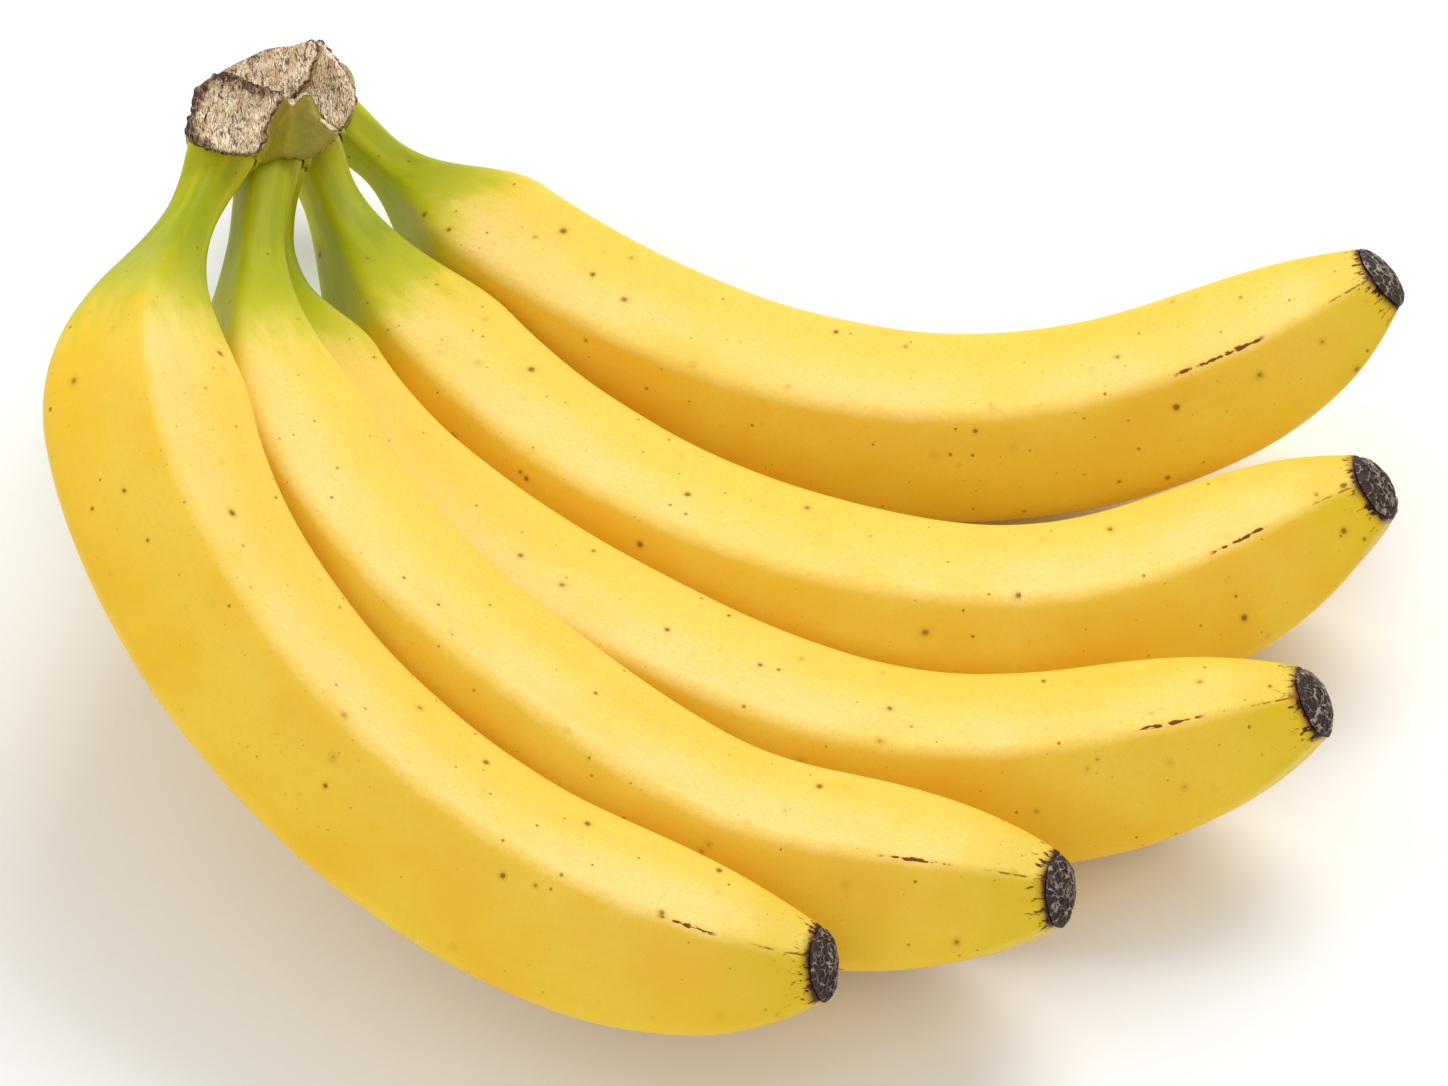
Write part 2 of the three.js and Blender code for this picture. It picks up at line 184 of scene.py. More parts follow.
class Banana:
    """One banana's form: the middle line and the skin's radius round it."""

    FEELERS = 300

    def __init__(self, index, spec):
        self.index = index
        self.spec = spec
        self.curve = GuidedCurve(spec["line"])
        self.length = self.curve.length
        self.feelers = self.places(np.linspace(0, self.length, self.FEELERS))

    def places(self, distance):
        """The curve's places; near the blossom end their planes lean."""
        place = self.curve.places(distance)
        lean = END_LEAN * smoothstep(1 - (self.length - distance) / END_LEAN_LENGTH)
        side = math.cos(END_LEAN_TOWARDS) * place["upper"] + math.sin(END_LEAN_TOWARDS) * place["outer"]
        hinge = np.cross(place["along"], side)
        cosine = np.cos(lean)[:, None]
        sine = np.sin(lean)[:, None]
        for key in ("along", "outer", "upper"):
            old = place[key]
            kept = (old * hinge).sum(1, keepdims=True) * hinge
            place[key] = kept + (old - kept) * cosine + np.cross(hinge, old) * sine
        return place

    def half_width(self, distance):
        spec = self.spec
        from_fattest = (distance / self.length - FATTEST_AT) / 0.5
        body = spec["body"] * (1 - BODY_SLIMMING * from_fattest ** 2)
        flare = smoothstep((distance - spec["neck_length"]) / spec["flare"])
        spread = spec["spread"] * np.exp(-((np.maximum(distance, 0) / NECK_SPREAD_LENGTH) ** 2))
        whole = spec["neck"] + (body - spec["neck"]) * flare + spread
        to_end = np.clip((self.length - distance) / TAPER_LENGTH, 0, 1)
        fullness = 1 - (1 - to_end) ** TAPER_POWER
        return RIM_RADIUS + (whole - RIM_RADIUS) * fullness

    def ridge_angle(self, distance):
        at_crown, at_end = self.spec["ridge_angles"]
        return np.radians(at_crown + (at_end - at_crown) * distance / self.length)

    def radius(self, distance, angle):
        """The skin's radius, where angle runs from the upper direction to the outer one."""
        body = smoothstep((distance - self.spec["neck_length"]) / self.spec["flare"])
        sharpness = NECK_SHARPNESS + (BODY_SHARPNESS - NECK_SHARPNESS) * body
        turned = angle - self.ridge_angle(distance)
        total = 0
        for side in range(RIDGES):
            facing = np.cos(turned - (side + 0.5) * (2 * math.pi / RIDGES))
            total = total + np.maximum(facing, 0) ** sharpness
        return self.half_width(distance) / HALF_WIDTH_PER_SIDE / total ** (1 / sharpness)

    def clearance(self, points):
        """How far each point is outside the skin; negative inside."""
        feelers = self.feelers
        nearest = np.empty(len(points), int)
        for start in range(0, len(points), 4000):
            part = points[start:start + 4000]
            away = part[:, None, :] - feelers["centre"][None]
            nearest[start:start + 4000] = (away ** 2).sum(-1).argmin(1)
        spoke = points - feelers["centre"][nearest]
        along = feelers["along"][nearest]
        slide = (spoke * along).sum(-1)
        spoke = spoke - along * slide[:, None]
        distance = feelers["distance"][nearest] + slide
        upper = (spoke * feelers["upper"][nearest]).sum(-1)
        outer = (spoke * feelers["outer"][nearest]).sum(-1)
        angle = np.arctan2(outer, upper)
        return np.linalg.norm(spoke, axis=1) - self.radius(np.clip(distance, 0, self.length), angle)

    def rings(self, distance, sides, grow=0.0):
        """Rings of points on the skin at these distances, moved out by grow."""
        place = self.places(distance)
        angle = self.ridge_angle(distance)[:, None] + np.arange(sides)[None] * 2 * math.pi / sides
        radius = self.radius(np.clip(distance, 0, self.length)[:, None], angle) + grow
        return (place["centre"][:, None] + place["upper"][:, None] * (radius * np.cos(angle))[..., None]
                + place["outer"][:, None] * (radius * np.sin(angle))[..., None])


def noise_at(points, size, seed):
    """Smooth noise from -1 to 1 at these points, in lumps of about this size."""
    shift = Vector((17.3 * seed, 5.1 * seed, 2.7 * seed))
    return np.array([noise.noise(Vector(point) + shift) for point in np.asarray(points) / size])


def set_attribute(mesh, name, values):
    values = np.asarray(values, np.float32)
    kind = "FLOAT" if values.ndim == 1 else "FLOAT_VECTOR"
    attribute = mesh.attributes.new(name, kind, "POINT")
    attribute.data.foreach_set("value" if values.ndim == 1 else "vector", values.ravel())


def make_object(name, points, faces):
    """A mesh object from points in millimetres."""
    mesh = bpy.data.meshes.new(name)
    mesh.from_pydata((np.asarray(points) * MM).tolist(), [], faces)
    piece = bpy.data.objects.new(name, mesh)
    bpy.context.scene.collection.objects.link(piece)
    return piece


def finish_piece(piece, material, node):
    """Smooth shading, a material, the CAD part it stands for hidden, and the piece attached to the root body.
    """
    piece.data.shade_smooth()
    piece.data.materials.clear()
    piece.data.materials.append(material)
    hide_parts(node)
    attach(piece, "root")


def grid_faces(rows, sides):
    """Quads between closed rings, with a fan point before the first ring and after the last."""
    faces = []
    for i in range(rows - 1):
        for j in range(sides):
            a = 1 + i * sides + j
            b = 1 + i * sides + (j + 1) % sides
            faces.append((a, b, b + sides, a + sides))
    last = 1 + rows * sides
    for j in range(sides):
        faces.append((0, 1 + (j + 1) % sides, 1 + j))
        a = 1 + (rows - 1) * sides
        faces.append((last, a + j, a + (j + 1) % sides))
    return faces


def add_fans(values, shape):
    """The values with one more at either end, for the fan points."""
    rows = values.reshape(shape[0], shape[1], -1)
    grown = np.concatenate([rows[0].mean(0)[None], rows.reshape(-1, rows.shape[-1]), rows[-1].mean(0)[None]])
    return grown[:, 0] if values.ndim == 1 else grown


def peel_stations(banana):
    """Distances along a banana for its rings, closer together near the blossom end."""
    t = np.linspace(0, 1, PEEL_STATIONS)
    share = t + 0.10 * np.sin(math.pi * t) * t
    return -NECK_SUNK + share / share[-1] * (banana.length + NECK_SUNK)


def peel_points(banana, in_front):
    """The skin's points and what its material needs to know at each of them."""
    distance = peel_stations(banana)
    # The rim turns in to meet the dry end
    rim_turn = np.array([[-0.25, 0.08], [-0.7, 0.10], [-1.6, 0.02]])
    ring_distance = np.concatenate([distance, banana.length + rim_turn[:, 1]])
    inset = np.concatenate([np.zeros(len(distance)), rim_turn[:, 0]])
    place = banana.places(ring_distance)
    turn = np.arange(PEEL_SIDES) * 2 * math.pi / PEEL_SIDES
    angle = banana.ridge_angle(ring_distance)[:, None] + turn[None]
    along = np.repeat(ring_distance[:, None], PEEL_SIDES, 1)
    radius = banana.radius(np.clip(along, -NECK_SUNK, banana.length), angle) + inset[:, None]
    spoke = (place["upper"][:, None] * np.cos(angle)[..., None]
             + place["outer"][:, None] * np.sin(angle)[..., None])
    centre = np.repeat(place["centre"][:, None], PEEL_SIDES, 1)
    shape = radius.shape
    flat = (centre + spoke * radius[..., None]).reshape(-1, 3)
    lumps = noise_at(flat, LUMP_SIZE, banana.index).reshape(shape)
    fade = smoothstep((banana.length - along) / 12) * smoothstep((along - 12) / 20)
    radius = radius + LUMP_HEIGHT * lumps * fade
    for _ in range(4):
        points = (centre + spoke * radius[..., None]).reshape(-1, 3)
        for other in in_front:
            short = TOUCH_GAP - other.clearance(points).reshape(shape)
            radius = radius - np.maximum(short, 0)
            points = (centre + spoke * radius[..., None]).reshape(-1, 3)
    points[:, 2] = np.maximum(points[:, 2], 0)
    arc = np.minimum(turn, 2 * math.pi - turn)[None] * radius
    side = np.clip(8 * np.sin(turn), -1, 1)[None] + 0 * radius
    unrolled = [radius * np.cos(turn)[None], radius * np.sin(turn)[None], along + 400 * banana.index]
    mark = [arc, along, banana.length - along]
    return points, shape, {
        "skin": np.stack(unrolled, -1).reshape(-1, 3),
        "mark": np.stack(mark, -1).reshape(-1, 3),
        "side": side.ravel(),
    }


def make_banana(banana, in_front):
    points, shape, attributes = peel_points(banana, in_front)
    piece = make_object(f"peel_{banana.index + 1}", add_fans(points, shape), grid_faces(*shape))
    for key, values in attributes.items():
        set_attribute(piece.data, key, add_fans(values, shape))
    finish_piece(piece, peel_material(banana), f"banana_{banana.index + 1}")


class Shader:
    """Short calls for building one material's nodes."""

    def __init__(self, name):
        self.material = bpy.data.materials.new(name)
        self.material.use_nodes = True
        self.tree = self.material.node_tree
        self.surface = self.tree.nodes["Principled BSDF"]

    def node(self, kind, settings=None, **inputs):
        node = self.tree.nodes.new(kind)
        for key, value in (settings or {}).items():
            setattr(node, key, value)
        for key, value in inputs.items():
            self.feed(node.inputs[key.replace("_", " ")], value)
        return node

    def feed(self, socket, value):
        if isinstance(value, bpy.types.NodeSocket):
            self.tree.links.new(value, socket)
        elif isinstance(value, (tuple, list)) and len(value) == 3 and socket.type == "RGBA":
            socket.default_value = (*value, 1)
        else:
            socket.default_value = value

    def attribute(self, name):
        return self.node("ShaderNodeAttribute", {"attribute_name": name}).outputs

    def math(self, operation, a, b=0.0, c=0.0):
        node = self.node("ShaderNodeMath", {"operation": operation})
        for socket, value in zip(node.inputs, (a, b, c)):
            self.feed(socket, value)
        return node.outputs[0]

    def times(self, a, b):
        return self.math("MULTIPLY", a, b)

    def split(self, vector):
        return self.node("ShaderNodeSeparateXYZ", Vector=vector).outputs

    def stretch(self, vector, scale):
        node = self.node("ShaderNodeVectorMath", {"operation": "MULTIPLY"})
        self.feed(node.inputs[0], vector)
        self.feed(node.inputs[1], scale)
        return node.outputs[0]

    def noise(self, vector, size, detail=2.0, rough=0.5, warp=0.0):
        node = self.node(
            "ShaderNodeTexNoise",
            Vector=vector, Scale=1 / size, Detail=detail, Roughness=rough, Distortion=warp,
        )
        return node.outputs["Fac"]

    def cells(self, vector, size):
        return self.node("ShaderNodeTexVoronoi", Vector=vector, Scale=1 / size).outputs

    def step(self, value, low, high, bottom=0.0, top=1.0):
        """A smooth step from bottom to top as value goes from low to high."""
        node = self.node("ShaderNodeMapRange", {"interpolation_type": "SMOOTHSTEP"})
        for key, number in (
            ("Value", value), ("From Min", low), ("From Max", high), ("To Min", bottom), ("To Max", top),
        ):
            self.feed(node.inputs[key], number)
        return node.outputs[0]

    def mix(self, factor, a, b):
        node = self.node("ShaderNodeMix", {"data_type": "RGBA"})
        self.feed(node.inputs[0], factor)
        self.feed(node.inputs[6], a)
        self.feed(node.inputs[7], b)
        return node.outputs[2]

    def bump(self, height, distance_mm, strength=1.0, normal=None):
        node = self.node("ShaderNodeBump", Height=height, Distance=distance_mm * MM, Strength=strength)
        if normal is not None:
            self.feed(node.inputs["Normal"], normal)
        return node.outputs["Normal"]


# Peel colours, linear
YELLOW = (0.88, 0.60, 0.040)
# painted highlight: a paler yellow for the peel's upper side near the upper ridge, where the light falls
PAINTED_HIGHLIGHT_YELLOW = (0.92, 0.70, 0.24)
# a deeper yellow: painted shade on the lower side of the upper ridge, and also the peel's own random clouds and
# mottle
DEEP_YELLOW_AND_PAINTED_SHADE = (0.86, 0.50, 0.012)
YELLOW_GREEN = (0.64, 0.57, 0.012)
GREEN = (0.38, 0.41, 0.003)
DEEP_GREEN = (0.19, 0.25, 0.002)
TIP_GREEN = (0.72, 0.52, 0.008)
SPECK_BROWN = (0.25, 0.08, 0.005)
SPECK_TAN = (0.55, 0.28, 0.015)
END_BROWN = (0.045, 0.016, 0.008)
RUST = (0.20, 0.055, 0.006)
NECK_RIM = (0.62, 0.50, 0.03)


def speck_layer(s, skin, colour, size, radius, share, tint, strength):
    """Scattered round specks: a cell of this size holds one speck where its random number is low."""
    cells = s.cells(skin, size)
    chance = s.split(cells["Color"])
    reach = s.times(s.math("ADD", s.times(chance[1], 0.9), 0.35), radius / size)
    ragged = s.math("ADD", cells["Distance"], s.times(s.noise(skin, 0.5, 1.0), 0.35 * radius / size))
    inside = s.step(s.math("DIVIDE", ragged, reach), 0.6, 1.35, 1.0, 0.0)
    kept = s.math("LESS_THAN", chance[0], share)
    return s.mix(s.times(s.times(inside, kept), strength), colour, tint)


def scar_factor(s, arc, to_end, scar, skin):
    """The broken dry mark along the upper ridge."""
    start, stop = scar
    wave = s.times(s.math("SUBTRACT", s.noise(skin, 4.0, 2.0), 0.5), 1.2)
    line = s.math("ABSOLUTE", s.math("ADD", arc, wave))
    thick = s.step(s.noise(s.stretch(skin, (1, 1, 0.6)), 1.0, 3.0), 0.40, 0.60, 0.03, 0.40)
    near = s.step(s.math("DIVIDE", line, thick), 0.6, 1.2, 1.0, 0.0)
    window = s.times(s.step(to_end, stop - 1, stop + 1), s.step(to_end, start - 1, start + 1, 1.0, 0.0))
    return s.times(near, window)


def body_colour(s, skin, arc, side):
    """Yellow with a fine mottle, paler on the side above the upper ridge as painted highlight and deeper below
    it as painted shade.
    """
    across = s.math("ADD", s.times(arc, side), s.times(s.math("SUBTRACT", s.noise(skin, 6.0, 2.0), 0.5), 2.0))
    # Deeper yellow on the lower side of the upper ridge: painted shade
    below = s.step(across, -0.8, 1.5)
    # Paler yellow near the upper ridge, on its upper side: painted highlight
    painted_highlight_share = s.step(arc, 4.0, 16.0, 1.0, 0.35)
    colour = s.mix(s.times(painted_highlight_share, s.step(s.noise(skin, 24.0, 3.0), 0.2, 0.8, 0.5, 1.0)), YELLOW, PAINTED_HIGHLIGHT_YELLOW)
    deep = s.mix(s.step(s.noise(skin, 20.0, 3.0), 0.3, 0.7), YELLOW, DEEP_YELLOW_AND_PAINTED_SHADE)
    colour = s.mix(s.times(below, 0.85), colour, deep)
    clouds = s.step(s.noise(s.stretch(skin, (1, 1, 0.5)), 8.0, 4.0), 0.5, 0.75, 0.0, 0.25)
    colour = s.mix(clouds, colour, DEEP_YELLOW_AND_PAINTED_SHADE)
    return s.mix(s.step(s.noise(skin, 0.9, 4.0, 0.65), 0.35, 0.75, 0.0, 0.35), colour, DEEP_YELLOW_AND_PAINTED_SHADE)


def neck_colour(s, colour, skin, along, green):
    """Green at the neck, in long soft streaks, with a yellower edge where it leaves the crown."""
    streaks = s.math("SUBTRACT", s.noise(s.stretch(skin, (1, 1, 0.05)), 3.0, 2.0), 0.5)
    wander = s.math("SUBTRACT", s.noise(skin, 14.0, 3.0), 0.5)
    reach = s.math("ADD", along, s.math("ADD", s.times(wander, 12.0), s.times(streaks, 18.0)))
    colour = s.mix(s.step(reach, green * 0.75, green * 1.3, 1.0, 0.0), colour, YELLOW_GREEN)
    full = s.step(reach, green * 0.55, green * 1.12, 0.95, 0.0)
    from_crown = s.step(reach, 2.0, green * 0.5, 0.6, 1.0)
    colour = s.mix(s.times(full, from_crown), colour, GREEN)
    colour = s.mix(s.times(full, s.step(streaks, -0.10, 0.20, 0.0, 0.45)), colour, DEEP_GREEN)
    return s.mix(s.step(along, 1.5, 4.5, 0.55, 0.0), colour, NECK_RIM)


def end_colour(s, colour, skin, arc, to_end):
    """A greener tinge, then dark brown rays round the blossom end."""
    wander = s.math("SUBTRACT", s.noise(skin, 12.0, 3.0), 0.5)
    colour = s.mix(s.step(s.math("ADD", to_end, s.times(wander, 12.0)), 3.0, 20.0, 0.6, 0.0), colour, TIP_GREEN)
    rays = s.noise(s.stretch(skin, (1, 1, 0.03)), 0.9, 2.0, 0.6)
    reach = s.step(rays, 0.48, 0.80, 0.2, 3.8)
    glow = s.step(s.math("SUBTRACT", to_end, reach), 0.0, 1.5, 0.6, 0.0)
    colour = s.mix(glow, colour, RUST)
    dark = s.step(s.math("SUBTRACT", to_end, s.times(reach, 0.75)), -0.2, 0.6, 1.0, 0.0)
    colour = s.mix(dark, colour, END_BROWN)
    broken = s.step(s.noise(s.stretch(skin, (1, 1, 0.5)), 1.5, 2.0), 0.42, 0.55)
    line = s.times(s.step(arc, 0.08, 0.30, 1.0, 0.0), s.step(to_end, 7.0, 11.0, 0.8, 0.0))
    return s.mix(s.times(line, broken), colour, RUST)


def peel_material(banana):
    s = Shader(f"peel_{banana.index + 1}")
    skin = s.attribute("skin")["Vector"]
    arc, along, to_end = s.split(s.attribute("mark")["Vector"])
    colour = body_colour(s, skin, arc, s.attribute("side")["Fac"])
    colour = neck_colour(s, colour, skin, along, banana.spec["green"])
    colour = end_colour(s, colour, skin, arc, to_end)
    colour = speck_layer(s, skin, colour, 6.4, 1.25, 0.8, SPECK_TAN, 0.30)
    colour = speck_layer(s, skin, colour, 6.4, 0.66, 0.8, SPECK_BROWN, 0.85)
    colour = speck_layer(s, skin, colour, 3.5, 0.36, 0.6, SPECK_BROWN, 0.75)
    colour = speck_layer(s, skin, colour, 1.9, 0.17, 0.6, SPECK_TAN, 0.75)
    scar = scar_factor(s, arc, to_end, banana.spec["scar"], skin)
    colour = s.mix(scar, colour, RUST)
    normal = s.bump(s.noise(skin, 3.5, 3.0), 0.10, 0.35)
    normal = s.bump(s.noise(skin, 0.45, 3.0, 0.6), 0.09, 0.5, normal)
    normal = s.bump(scar, -0.15, 0.6, normal)
    s.feed(s.surface.inputs["Base Color"], colour)
    s.feed(s.surface.inputs["Roughness"], s.step(s.noise(skin, 6.0, 4.0), 0.3, 0.7, 0.40, 0.50))
    s.feed(s.surface.inputs["Normal"], normal)
    s.surface.inputs["Specular IOR Level"].default_value = 0.16
    s.surface.inputs["Subsurface Weight"].default_value = 0.10
    s.surface.inputs["Subsurface Radius"].default_value = (1.0, 0.55, 0.12)
    s.surface.inputs["Subsurface Scale"].default_value = 3 * MM
    return s.material


def web_height(points):
    """Raised strands, from 0 to 1: the borders between warped cells."""
    heights = []
    for x, y, seed in points:
        place = Vector((x, y, seed * 31.0))
        bent = place + noise.noise_vector(place / 1.7) * 1.1 + noise.noise_vector(place / 0.7) * 0.3
        near, _ = noise.voronoi(bent / 1.7)
        heights.append(1 - min((near[1] - near[0]) / 0.20, 1))
    return smoothstep(np.array(heights))


def make_tip(banana):
    """The dry blossom end: a low dome with a net of raised strands."""
    rings, sides = 60, 150
    end = banana.places(np.array([banana.length]))
    share = np.linspace(1, 0.01, rings)
    turn = np.arange(sides) * 2 * math.pi / sides
    ragged = 1 + 0.03 * np.sin(3 * turn + banana.index) + 0.02 * np.sin(7 * turn + 2 * banana.index)
    radius = share[:, None] * TIP_RADIUS * ragged[None]
    x = radius * np.cos(turn)
    y = radius * np.sin(turn)
    seeds = np.full(x.size, banana.index + 1.0)
    web = web_height(np.stack([x.ravel(), y.ravel(), seeds], -1)).reshape(x.shape)
    dome = TIP_DOME * (1 - share[:, None] ** 2.6)
    strands = WEB_HEIGHT * web * np.clip((1 - share[:, None]) * 8, 0, 1)
    height = TIP_GAP + dome + strands
    points = (end["centre"] + x[..., None] * end["upper"] + y[..., None] * end["outer"]
              + height[..., None] * end["along"])
    piece = make_object(f"blossom_end_{banana.index + 1}", add_fans(points.reshape(-1, 3), x.shape),
                        grid_faces(*x.shape))
    set_attribute(piece.data, "web", add_fans(web.ravel(), x.shape))
    finish_piece(piece, tip_material(), f"tip_{banana.index + 1}")


def tip_material():
    if "dry_blossom_end" in bpy.data.materials:
        return bpy.data.materials["dry_blossom_end"]
    s = Shader("dry_blossom_end")
    place = s.stretch(s.node("ShaderNodeTexCoord").outputs["Object"], (1000, 1000, 1000))
    web = s.attribute("web")["Fac"]
    grain = s.noise(place, 0.5, 4.0, 0.7)
    dark = s.mix(s.step(grain, 0.4, 0.7), (0.012, 0.008, 0.007), (0.06, 0.022, 0.012))
    pale = s.mix(s.step(s.noise(place, 1.6, 3.0), 0.38, 0.62), (0.10, 0.04, 0.022), (0.36, 0.29, 0.23))
    s.feed(s.surface.inputs["Base Color"], s.mix(s.step(web, 0.35, 0.9), dark, pale))
    s.surface.inputs["Roughness"].default_value = 0.7
    s.feed(s.surface.inputs["Normal"], s.bump(grain, 0.15, 0.6))
    return s.material


def closed_loft(rings):
    """The points and faces of a closed surface through rings of points."""
    rings = np.asarray(rings)
    shape = rings.shape[:2]
    return add_fans(rings.reshape(-1, 3), shape), grid_faces(*shape)


def crown_core():
    curve = GuidedCurve(CORE_LINE)
    distance = np.linspace(0, curve.length, 40)
    place = curve.places(distance)
    from_end = np.minimum(distance, curve.length - distance)
    inset = 1 - np.minimum(from_end / CORE_ROUNDING, 1)
    size = np.sqrt(1 - CORE_END_ROUNDNESS * inset ** 2)[:, None]
    turn = np.arange(48) * 2 * math.pi / 48
    corner = np.abs(np.cos(turn)) ** CORE_SQUARENESS + np.abs(np.sin(turn)) ** CORE_SQUARENESS
    reach = size * corner ** (-1 / CORE_SQUARENESS)
    upper = (CORE_HALF_HEIGHT * reach * np.cos(turn))[..., None] * place["upper"][:, None]
    outer = (CORE_HALF_WIDTH * reach * np.sin(turn))[..., None] * place["outer"][:, None]
    return closed_loft(place["centre"][:, None] + upper + outer)


def smooth_outline(corners, count):
    """Points on a closed smooth curve through the corners."""
    corners = np.array(corners, float)
    number = len(corners)
    points = []
    for step in np.arange(count) * number / count:
        i = int(step)
        t = step - i
        a, b, c, d = (corners[(i + k) % number] for k in (-1, 0, 1, 2))
        cubic = 3 * b - a - 3 * c + d
        square = 2 * a - 5 * b + 4 * c - d
        points.append(0.5 * (2 * b + (c - a) * t + square * t ** 2 + cubic * t ** 3))
    return np.array(points)


class Lobe:
    """One lobe that the cuts left on the crown."""

    SIDES = 90

    def __init__(self, spec):
        self.outline = smooth_outline(spec["outline"], self.SIDES)
        self.middle = self.outline.mean(0)
        self.front = spec["front"]
        self.back = spec["back"]
        self.shift = np.array(spec["back_shift"])
        self.band = spec.get("band")

    def ring(self, share):
        """The lobe's outline at this share of its depth from the back, in space."""
        size = np.interp(share, *LOBE_SECTIONS.T)
        flat = self.middle + (self.outline - self.middle) * size + self.shift * (1 - share)
        depth = self.back + (self.front - self.back) * share
        points = LOBE_PLACE + depth * LOBE_NORMAL + flat[:, 1:] * LOBE_RISE
        points[:, 0] += flat[:, 0]
        return points

    def loft(self):
        return closed_loft([self.ring(share) for share in np.linspace(0, 1, 40)])

    def inside(self, points):
        """How far each point is inside the lobe's side wall, and its share of the depth."""
        away = points - LOBE_PLACE
        share = (away @ LOBE_NORMAL - self.back) / (self.front - self.back)
        size = np.interp(share, *LOBE_SECTIONS.T)
        flat = np.stack([away[:, 0], away @ LOBE_RISE], -1) - self.shift * (1 - share[:, None])
        flat = (flat - self.middle) / size[:, None] + self.middle
        a = self.outline
        b = np.roll(a, -1, 0)
        edge = b - a
        to = flat[:, None] - a[None]
        t = np.clip((to * edge).sum(-1) / (edge ** 2).sum(-1), 0, 1)
        distance = np.linalg.norm(to - t[..., None] * edge, axis=-1).min(1)
        crosses = (a[None, :, 1] > flat[:, None, 1]) != (b[None, :, 1] > flat[:, None, 1])
        rise = np.where(edge[:, 1] == 0, 1e-9, edge[:, 1])
        at = a[:, 0] + (flat[:, None, 1] - a[:, 1]) / rise * edge[:, 0]
        within = (crosses & (flat[:, None, 0] < at)).sum(1) % 2 == 1
        return np.where(within, distance, -distance) * size, share


def collar_mouth(banana):
    """Outer radius of the crown's collar at its mouth, without its wall."""
    return banana.half_width(COLLAR_MOUTH_AT) * NECK_CORNER_REACH + NECK_HOLE_GAP


def collar_ring(banana, share, sides=40):
    """A ring of the collar, from its root to its mouth."""
    start = banana.places(np.array([0.0]))
    turn = np.arange(sides)[:, None] * 2 * math.pi / sides
    wall = COLLAR_ROOT_WALL + (COLLAR_MOUTH_WALL - COLLAR_ROOT_WALL) * share
    radius = collar_mouth(banana) + wall
    centre = start["centre"][0] + start["along"][0] * (COLLAR_MOUTH_AT - COLLAR_HEIGHT * (1 - share))
    return centre + radius * (np.cos(turn) * start["upper"][0] + np.sin(turn) * start["outer"][0])


def crown_collar(banana):
    """A collar round the neck, with a domed root so that the crown looks grown from behind."""
    rings = []
    for share in np.linspace(-0.25, 1, 16):
        ring = collar_ring(banana, share)
        middle = ring.mean(0)
        size = math.sqrt(max(1 - max(0.6 - share, 0) ** 2 / 0.86 ** 2, 0.02))
        rings.append(middle + (ring - middle) * size)
    return closed_loft(rings)


def neck_hole(banana):
    deepest = -NECK_SUNK - NECK_HOLE_GAP
    distance = np.linspace(deepest, deepest + NECK_HOLE_LENGTH, 40)
    return closed_loft(banana.rings(distance, 72, NECK_HOLE_GAP))


def joined_object(name, parts):
    """One mesh object holding several closed surfaces."""
    points, faces = [], []
    for part_points, part_faces in parts:
        base = len(points)
        points.extend(part_points)
        faces.extend([[base + corner for corner in face] for face in part_faces])
    return make_object(name, points, faces)


def apply_modifiers(piece):
    """Leaves the piece with the mesh that its modifiers make."""
    depsgraph = bpy.context.evaluated_depsgraph_get()
    mesh = bpy.data.meshes.new_from_object(piece.evaluated_get(depsgraph))
    piece.modifiers.clear()
    piece.data = mesh


def carve(piece, part):
    """Cuts a closed surface out of the piece."""
    cutter = make_object("cutter", *part)
    cut = piece.modifiers.new("cut", "BOOLEAN")
    cut.operation = "DIFFERENCE"
    cut.solver = "MANIFOLD"
    cut.object = cutter
    apply_modifiers(piece)
    bpy.data.objects.remove(cutter)


def nearness(points, targets, width):
    """1 at the target points, falling to 0 over a few widths."""
    nearest = np.full(len(points), np.inf)
    for start in range(0, len(points), 8000):
        away = points[start:start + 8000, None] - targets[None]
        nearest[start:start + 8000] = (away ** 2).sum(-1).min(1)
    return np.exp(-nearest / width ** 2)


def mesh_array(mesh, key):
    values = np.empty(len(mesh.vertices) * 3)
    mesh.vertices.foreach_get(key, values)
    return values.reshape(-1, 3)


def crown_zones(points, normals, lobes, patch, bananas):
    """Where the crown is cut face rather than skin, and how near its ragged edges are."""
    cut = np.zeros(len(points))
    rim = np.zeros(len(points))
    dish = np.zeros(len(points))
    for lobe in lobes:
        inside, share = lobe.inside(points)
        depth = (share - 1) * (lobe.front - lobe.back)
        face = (depth > -2.5) * (depth < 2.5)
        cut = np.maximum(cut, smoothstep((inside + 0.9) / 0.6) * face)
        dish = np.maximum(dish, smoothstep((inside - 0.6) / 4) * face)
        ring = lobe.ring(0.97)
        rim = np.maximum(rim, nearness(points, ring, 0.7))
        leftness = ring @ LOBE_RISE - ring[:, 0]
        upper_left = ring[leftness > np.quantile(leftness, 0.55)]
        if lobe.band:
            rim = np.maximum(rim, nearness(points, upper_left, lobe.band))
    inside, share = patch.inside(points)
    cut *= 1 - smoothstep((inside + 0.6) / 0.5) * (share > 0.5) * (share < 1.08)
    under = patch.ring(0.97)[patch.outline[:, 1] < -7.6]
    rim = np.maximum(rim, 0.75 * nearness(points, under, 0.45))
    # Seen from behind, the crown shows the long face where it was cut from its stalk
    behind = normals @ np.array([-0.35, 0.75, 0.55])
    cut = np.maximum(cut, smoothstep((behind - 0.15) / 0.3))
    mouth = np.zeros(len(points))
    neck = np.zeros(len(points))
    for banana in bananas:
        mouth = np.maximum(mouth, nearness(points, collar_ring(banana, 1.0, 160), 0.5))
        neck = np.maximum(neck, nearness(points, collar_ring(banana, 1.0, 160), 2.5))
    return cut, rim, mouth, neck, dish


